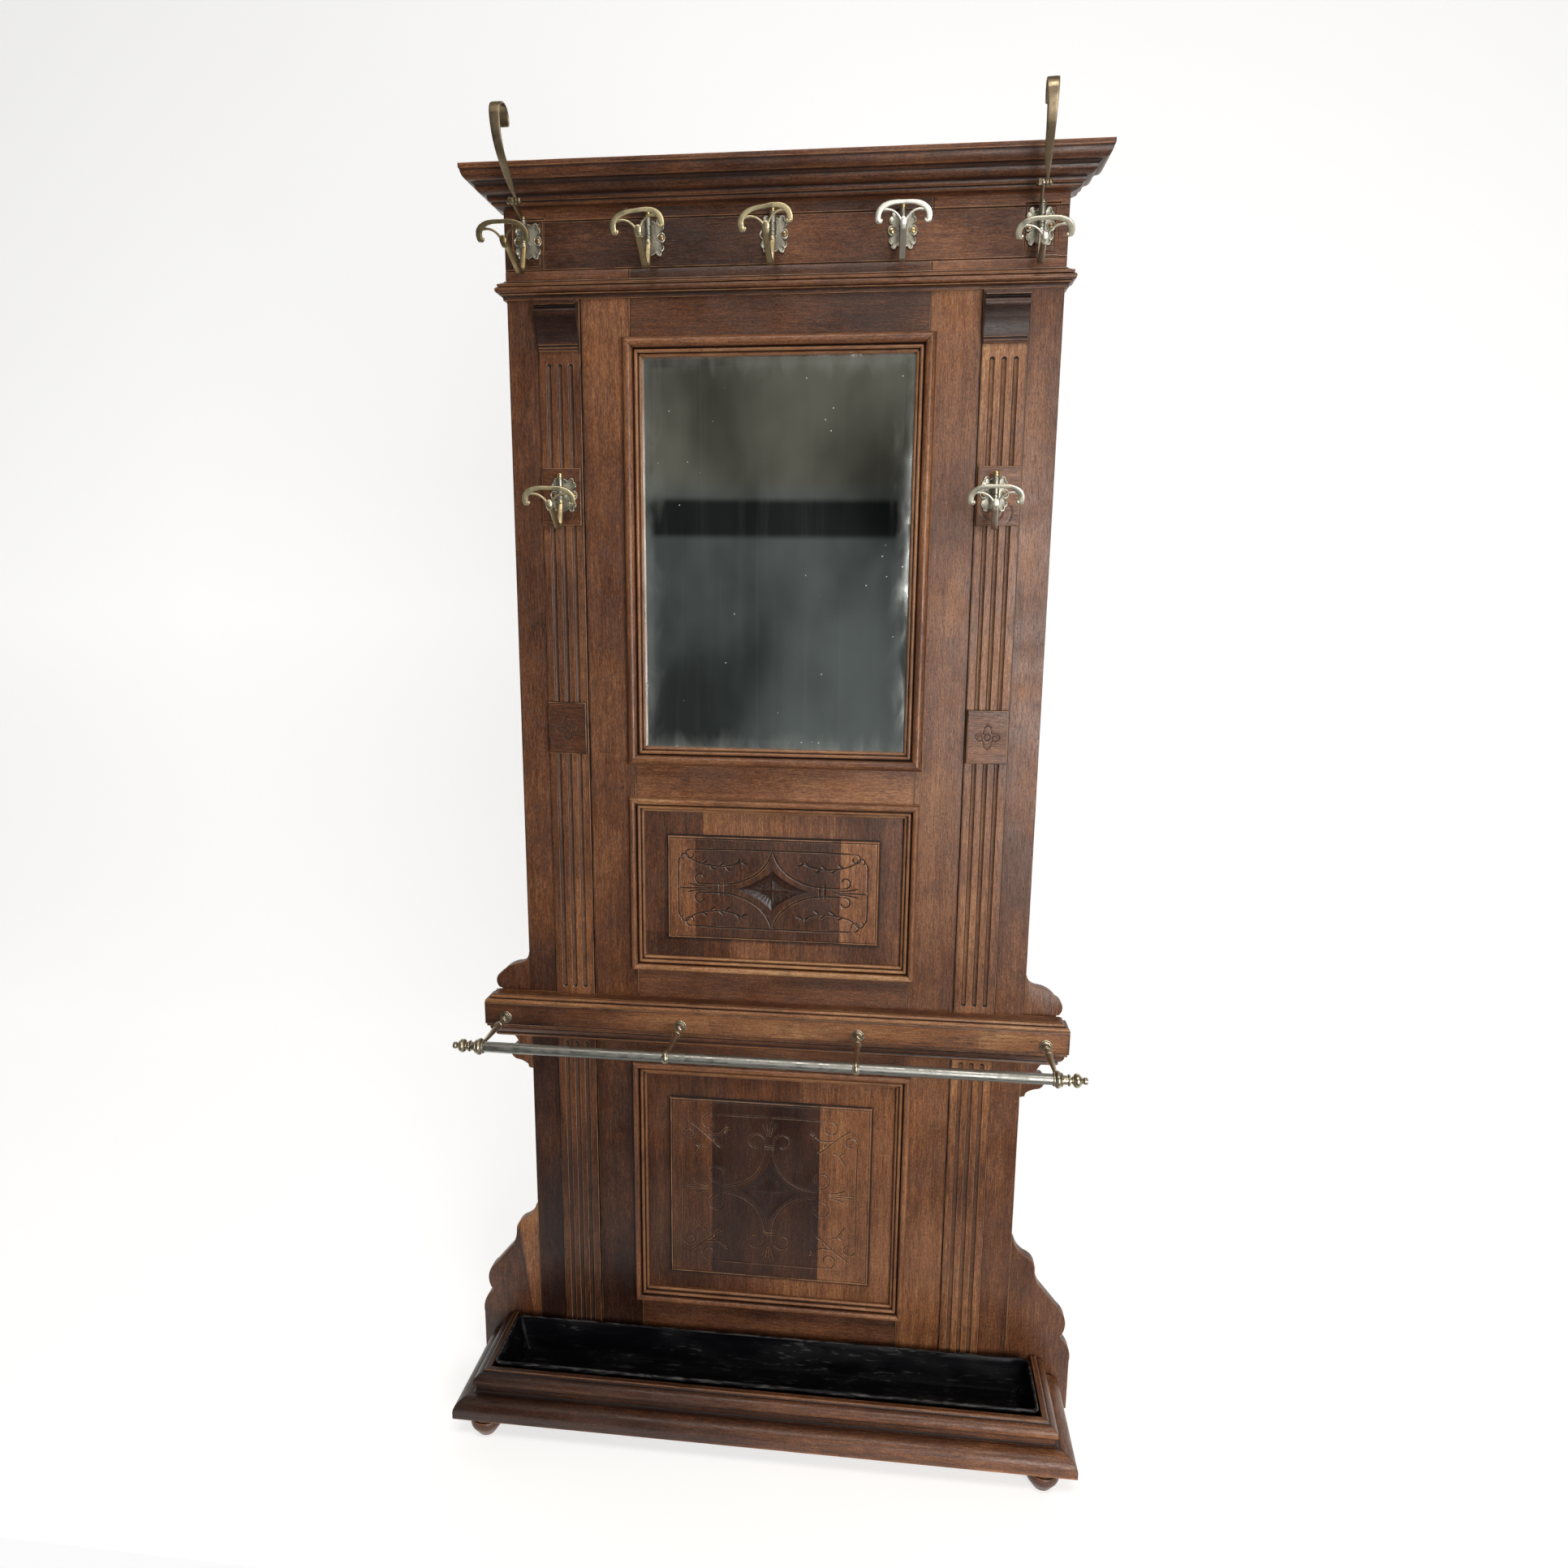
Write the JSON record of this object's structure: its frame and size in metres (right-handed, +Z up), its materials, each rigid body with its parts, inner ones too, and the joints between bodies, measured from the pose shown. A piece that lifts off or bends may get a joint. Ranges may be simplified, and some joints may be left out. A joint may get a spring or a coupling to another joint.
{
  "type": "hall tree",
  "caption": "Tall flat wooden hall tree with framed mirror, carved panels, swivel coat hooks, folding hat arms, umbrella rail and lift-out drip tray.",
  "frame": {"origin": "centre of the footprint, on the floor", "axes": "+X to the viewer's right, +Y towards the wall behind, +Z up"},
  "size_m": [1.1374, 0.2337, 2.2365],
  "materials": {
    "walnut": "semi-gloss old varnish",
    "pine_board": "bare sawn board",
    "mirror": "old silvering",
    "old_brass": "worn and darkened",
    "nickel": "aged nickel plate",
    "bronze_strap": "browned",
    "brass_cap": "rubbed bright",
    "screw_brass": "dull",
    "plate_metal": "worn nickel over brass",
    "rail_steel": "aged nickel tube",
    "rail_brass": "dull, worn plating",
    "tray_black": "worn black paint"
  },
  "bodies": {
    "stand": {"astragal": "walnut", "beam": "walnut", "beam_cap": "walnut", "beam_lower_moulding": "walnut", "beam_rail": "walnut", "bottom_rail": "walnut", "corbels": "walnut", "cornice": "walnut", "feet": "walnut", "frieze_board": "walnut", "hook_blocks": "walnut", "hook_plates": "plate_metal", "inner_stile_left": "walnut", "inner_stile_right": "walnut", "lower_brackets": "walnut", "lower_panel": "walnut", "lower_panel_moulding": "walnut", "lower_pilaster_left": "walnut", "lower_pilaster_right": "walnut", "middle_panel": "walnut", "middle_panel_moulding": "walnut", "mirror_backboard": "pine_board", "mirror_glass": "mirror", "mirror_moulding": "walnut", "mirror_rail": "walnut", "outer_stile_left": "walnut", "outer_stile_right": "walnut", "plate_screws": "screw_brass", "plinth_bottom": "walnut", "plinth_front": "walnut", "plinth_left": "walnut", "plinth_right": "walnut", "rail_arms": "rail_brass", "rail_finials": "rail_brass", "rail_tube": "rail_steel", "rosette_blocks": "walnut", "top_rail": "walnut", "upper_brackets": "walnut", "upper_pilaster_left": "walnut", "upper_pilaster_right": "walnut", "wing_left": "walnut", "wing_right": "walnut"},
    "hook_1": {"coat_hook_1": "old_brass", "hat_bolt_1": "bronze_strap"},
    "hat_arm_body_1": {"hat_arm_1": "bronze_strap"},
    "hook_2": {"coat_hook_2": "old_brass", "pin_cap_2": "brass_cap"},
    "hook_3": {"coat_hook_3": "old_brass", "pin_cap_3": "brass_cap"},
    "hook_4": {"coat_hook_4": "nickel", "pin_cap_4": "brass_cap"},
    "hook_5": {"coat_hook_5": "nickel", "hat_bolt_5": "bronze_strap"},
    "hat_arm_body_5": {"hat_arm_5": "bronze_strap"},
    "hook_6": {"coat_hook_6": "old_brass", "pin_cap_6": "brass_cap"},
    "hook_7": {"coat_hook_7": "nickel", "pin_cap_7": "brass_cap"},
    "tray": {"drip_tray": "tray_black"}
  },
  "joints": [
    {"name": "hook_1_swivel", "type": "hinge", "parent": "stand", "child": "hook_1", "pos_m": [-0.411, 0.0685, 2.076], "axis": [0, 0, 1], "range_deg": [-45, 45]},
    {"name": "hook_2_swivel", "type": "hinge", "parent": "stand", "child": "hook_2", "pos_m": [-0.206, 0.0685, 2.076], "axis": [0, 0, 1], "range_deg": [-45, 45]},
    {"name": "hook_3_swivel", "type": "hinge", "parent": "stand", "child": "hook_3", "pos_m": [-0.007, 0.0685, 2.076], "axis": [0, 0, 1], "range_deg": [-45, 45]},
    {"name": "hook_4_swivel", "type": "hinge", "parent": "stand", "child": "hook_4", "pos_m": [0.196, 0.0685, 2.076], "axis": [0, 0, 1], "range_deg": [-45, 45]},
    {"name": "hook_5_swivel", "type": "hinge", "parent": "stand", "child": "hook_5", "pos_m": [0.407, 0.0685, 2.076], "axis": [0, 0, 1], "range_deg": [-45, 45]},
    {"name": "hook_6_swivel", "type": "hinge", "parent": "stand", "child": "hook_6", "pos_m": [-0.357, 0.0545, 1.674], "axis": [0, 0, 1], "range_deg": [-45, 45]},
    {"name": "hook_7_swivel", "type": "hinge", "parent": "stand", "child": "hook_7", "pos_m": [0.355, 0.0545, 1.674], "axis": [0, 0, 1], "range_deg": [-45, 45]},
    {"name": "hat_arm_1_fold", "type": "hinge", "parent": "hook_1", "child": "hat_arm_body_1", "pos_m": [-0.41165, 0.03151, 2.119], "axis": [0.9998, -0.0175, 0], "range_deg": [0, 68]},
    {"name": "hat_arm_5_fold", "type": "hinge", "parent": "hook_5", "child": "hat_arm_body_5", "pos_m": [0.40442, 0.03159, 2.119], "axis": [0.9976, -0.0698, 0], "range_deg": [0, 76]},
    {"name": "tray_lift", "type": "slide", "parent": "stand", "child": "tray", "axis": [0, 0, 1], "range_m": [0, 0.1]}
  ]
}
